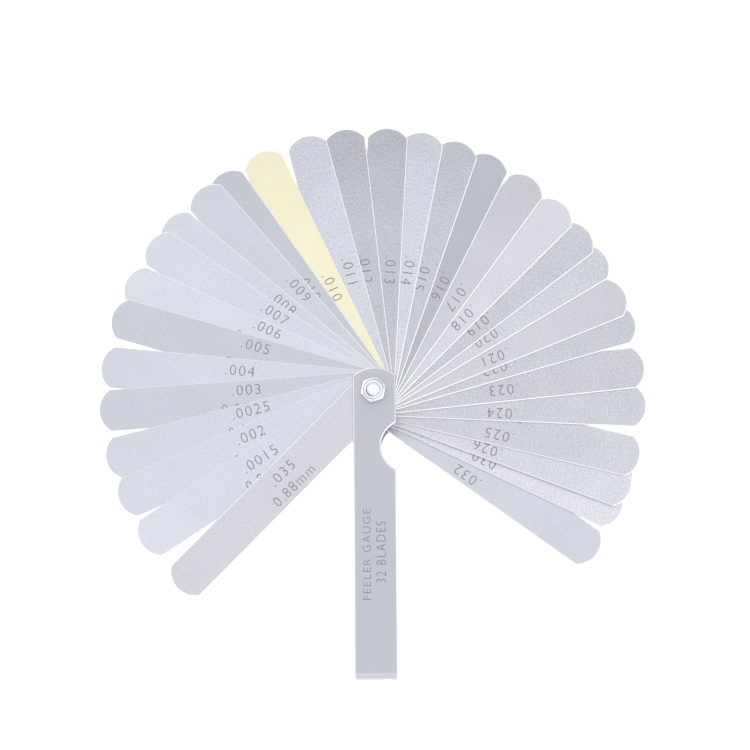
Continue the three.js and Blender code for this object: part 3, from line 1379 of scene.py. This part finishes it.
@dataclass
class Screw:
    """The pivot screw: a hexagon head, a plain shank and a threaded end.

    Attributes:
        head: The head's outside.
        radius: Radius of the thread and the shank.
        top: Height of its end.
        pitch: Pitch of the thread.
        end_chamfer: Width of the chamfer on the end.
        thread_depth: Depth of the thread.
        thread_length: Length of the threaded end.
        thread_count: Rings along the thread.
        guard: Distance of the rings that keep a flat's shading flat from its rim.
        lip: Distance of the last rings from the end's rim, above and below it.
        middle: Radius of the small fans that close the head and the end.
        brightness: The plating's brightness over the record's colour.
    """

    head: Hexagon
    radius: float
    top: float
    pitch: float = 0.7
    end_chamfer: float = 0.4

    thread_depth = 0.36
    thread_length = 7.0
    thread_count = 140
    guard = 0.1
    lip = 0.02
    middle = 0.3
    brightness = 1.2

    @classmethod
    def from_frame(cls) -> "Screw":
        """Measure the screw from its CAD node, whose head ends where the holder starts.

        Returns:
            The screw.
        """
        points = node_points("pivot_screw")
        height = points[:, 2]
        head_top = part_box("holder")[0].z / MM
        head = points[height < head_top + NEAR]
        shank = points[height > head_top + NEAR]
        radius = float(np.hypot(shank[:, 0], shank[:, 1]).max())
        return cls(Hexagon.from_points(head, 0.0), radius, float(height.max()))

    def thread(self) -> np.ndarray:
        """Rings of the threaded end.

        The radius falls from the thread's crest by its depth times a triangle wave of the height
        over the pitch less the angle over a full turn. The wave fades in over the first pitch,
        and the radius is no more than that of the end's cone.

        Returns:
            Array of rings by points by x, y, z.
        """
        angle = self.head.angles()[None, :]
        start = self.top - self.thread_length
        height = np.linspace(start, self.top - self.lip, self.thread_count)[:, None]
        phase = (height / self.pitch - angle / (2 * math.pi)) % 1.0
        wave = np.abs(2 * phase - 1)
        fade = ((height - start) / self.pitch).clip(max=1.0)
        cone = self.radius - (height - (self.top - self.end_chamfer)).clip(min=0.0)
        radius = np.minimum(self.radius - self.thread_depth * wave * fade, cone)
        height = np.broadcast_to(height, radius.shape)
        return np.dstack([radius * np.cos(angle), radius * np.sin(angle), height])

    def build(self, shop: Workshop) -> bpy.types.Object:
        """Make the screw from the middle of its head up to the middle of its end.

        Args:
            shop: Where its material is made.

        Returns:
            The new piece.
        """
        head = self.head
        rings = [
            head.ring(self.middle, head.floor),
            head.ring(head.face - self.guard, head.floor),
            *head.side_rings(True, False),
            head.ring(self.radius + self.guard, head.top),
            head.ring(self.radius, head.top),
            head.ring(self.radius, head.top + self.guard),
            *self.thread(),
            head.ring(self.radius - self.end_chamfer - self.lip, self.top),
            head.ring(self.middle, self.top),
        ]
        piece = mesh_from_rings("screw", np.array(rings), closed=False, crease=HEX_CREASE)
        colour = linear(record_colour("pivot_screw"), self.brightness)
        piece.data.materials.append(shop.material("screw_plating", colour, Metal.NICKEL, on_uv=False))
        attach(piece, "holder")
        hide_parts("pivot_screw")
        return piece


# ---- Studio ------------------------------------------------------------------------------------


@dataclass(frozen=True)
class Softbox:
    """A large soft light.

    Attributes:
        name: Its name.
        azimuth: Direction that it stands in, in degrees anticlockwise from +X.
        elevation: Its height above the floor, in degrees seen from the object.
        distance: Its distance in metres.
        width: Its width in metres.
        height: Its height in metres.
        power: Its power in watts.
    """

    name: str
    azimuth: float
    elevation: float
    distance: float
    width: float
    height: float
    power: float

    def build(self, target: Vector) -> None:
        """Stand the light in its direction and turn it to the target.

        Args:
            target: The point that it lights, in metres.
        """
        light = bpy.data.lights.new(self.name, "AREA")
        light.shape = "RECTANGLE"
        light.size = self.width
        light.size_y = self.height
        light.energy = self.power
        stand = bpy.data.objects.new(self.name, light)
        bpy.context.scene.collection.objects.link(stand)
        around, up = math.radians(self.azimuth), math.radians(self.elevation)
        away = Vector(
            (math.cos(up) * math.cos(around), math.cos(up) * math.sin(around), math.sin(up))
        )
        stand.location = target + away * self.distance
        stand.rotation_euler = (-away).to_track_quat("-Z", "Y").to_euler()


@dataclass
class Studio:
    """A pale floor, soft light from all round and a camera nearly above the fan.

    Attributes:
        eye: The camera's place, in millimetres.
        tilt: The camera's rotation vector, in degrees.
        lens: Focal length over the picture's width.
        sky: Brightness of the light from above.
        horizon: Brightness of the light from the sides.
        floor_glow: How brightly the floor shines by itself, as a light table does.
        rises: Upward parts of a direction between which horizon turns into sky.
        floor_span: Size of the floor in metres.
        floor_shade: Linear colour of the floor.
        floor_roughness: Its roughness.
        nearest: Distance in metres from which the camera sees.
        sensor: Width of the camera's sensor in millimetres.
        boxes: The soft lights.
    """

    eye: tuple[float, float, float] = (11.9, -90.2, 616.9)
    tilt: tuple[float, float, float] = (9.01, 1.12, -0.51)
    lens: float = 2.654
    sky: float = 1.06
    horizon: float = 0.66
    floor_glow: float = 0.9

    rises = (0.1, 0.85)
    floor_span = 6.0
    floor_shade = 0.3
    floor_roughness = 0.9
    nearest = 0.01
    sensor = 36.0
    boxes = (
        Softbox("softbox_right", -41, 24, 1.2, 2.4, 1.0, 3.2),
        Softbox("softbox_left", 138, 24, 1.2, 2.2, 1.0, 2.9),
    )

    def build(self) -> None:
        """Set up the floor, the light and the camera."""
        self.camera()
        self.floor()
        self.sky_light()
        target = (cad_low + cad_high) / 2
        for box in self.boxes:
            box.build(target)
        bpy.context.scene.view_settings.view_transform = "Standard"

    def camera(self) -> None:
        """Put the camera in its place, turned by its rotation vector."""
        lens = bpy.data.cameras.new("camera")
        lens.sensor_width = self.sensor
        lens.lens = self.lens * self.sensor
        lens.clip_start = self.nearest
        stand = bpy.data.objects.new("camera", lens)
        bpy.context.scene.collection.objects.link(stand)
        turn = Vector([math.radians(a) for a in self.tilt])
        rotation = Matrix.Rotation(turn.length, 4, turn.normalized())
        stand.matrix_world = Matrix.Translation(Vector(self.eye) * MM) @ rotation
        bpy.context.scene.camera = stand

    def floor(self) -> None:
        """Lay the floor under the gauge."""
        half = self.floor_span / 2
        mesh = bpy.data.meshes.new("floor")
        corners = [(-half, -half), (half, -half), (half, half), (-half, half)]
        mesh.from_pydata([(x, y, cad_low.z) for x, y in corners], [], [(0, 1, 2, 3)])
        floor = bpy.data.objects.new("floor", mesh)
        bpy.context.scene.collection.objects.link(floor)
        paper = bpy.data.materials.new("white_paper")
        paper.use_nodes = True
        shader = paper.node_tree.nodes["Principled BSDF"]
        shader.inputs["Base Color"].default_value = (*(self.floor_shade,) * 3, 1)
        shader.inputs["Roughness"].default_value = self.floor_roughness
        shader.inputs["Emission Color"].default_value = (1, 1, 1, 1)
        shader.inputs["Emission Strength"].default_value = self.floor_glow
        floor.data.materials.append(paper)

    def sky_light(self) -> None:
        """Light the scene from all round, most from above.

        The brightness goes smoothly from horizon to sky as the direction rises. The camera
        itself sees plain white past the floor's end.
        """
        world = bpy.data.worlds.new("studio")
        world.use_nodes = True
        bpy.context.scene.world = world
        background = world.node_tree.nodes["Background"]
        background.inputs["Color"].default_value = (1, 1, 1, 1)
        pen = NodePen(world.node_tree)
        direction = pen.add("ShaderNodeTexCoord").outputs["Generated"]
        rise = pen.add("ShaderNodeSeparateXYZ", {"Vector": direction}).outputs["Z"]
        level = pen.add(
            "ShaderNodeMapRange",
            {
                "Value": rise,
                "From Min": self.rises[0],
                "From Max": self.rises[1],
                "To Min": self.horizon,
                "To Max": self.sky,
            },
            interpolation_type="SMOOTHSTEP",
        )
        seen = pen.add("ShaderNodeLightPath").outputs["Is Camera Ray"]
        strength = pen.math("MAXIMUM", level.outputs[0], seen)
        world.node_tree.links.new(strength, background.inputs["Strength"])


# ---- Whole -------------------------------------------------------------------------------------


def main() -> None:
    """Build the gauge's pieces and the studio round them."""
    logging.basicConfig(level=logging.INFO, format="%(message)s")
    shop = Workshop()
    etcher = Etcher()
    Studio().build()
    holder = Holder.from_frame()
    pieces = [holder.build(shop), holder.etch(shop, etcher)]
    pieces.append(Nut.from_frame().build(shop))
    pieces.append(Screw.from_frame().build(shop))
    for joint in frame["joints"]:
        leaf = Leaf.from_frame(joint)
        pieces.append(leaf.build(shop))
        pieces.append(SizeMark.on_leaf(leaf).build(shop, etcher))
    for piece in pieces:
        LOG.info("%s: %d faces", piece.name, len(piece.data.polygons))


if __name__ == "__main__":
    main()
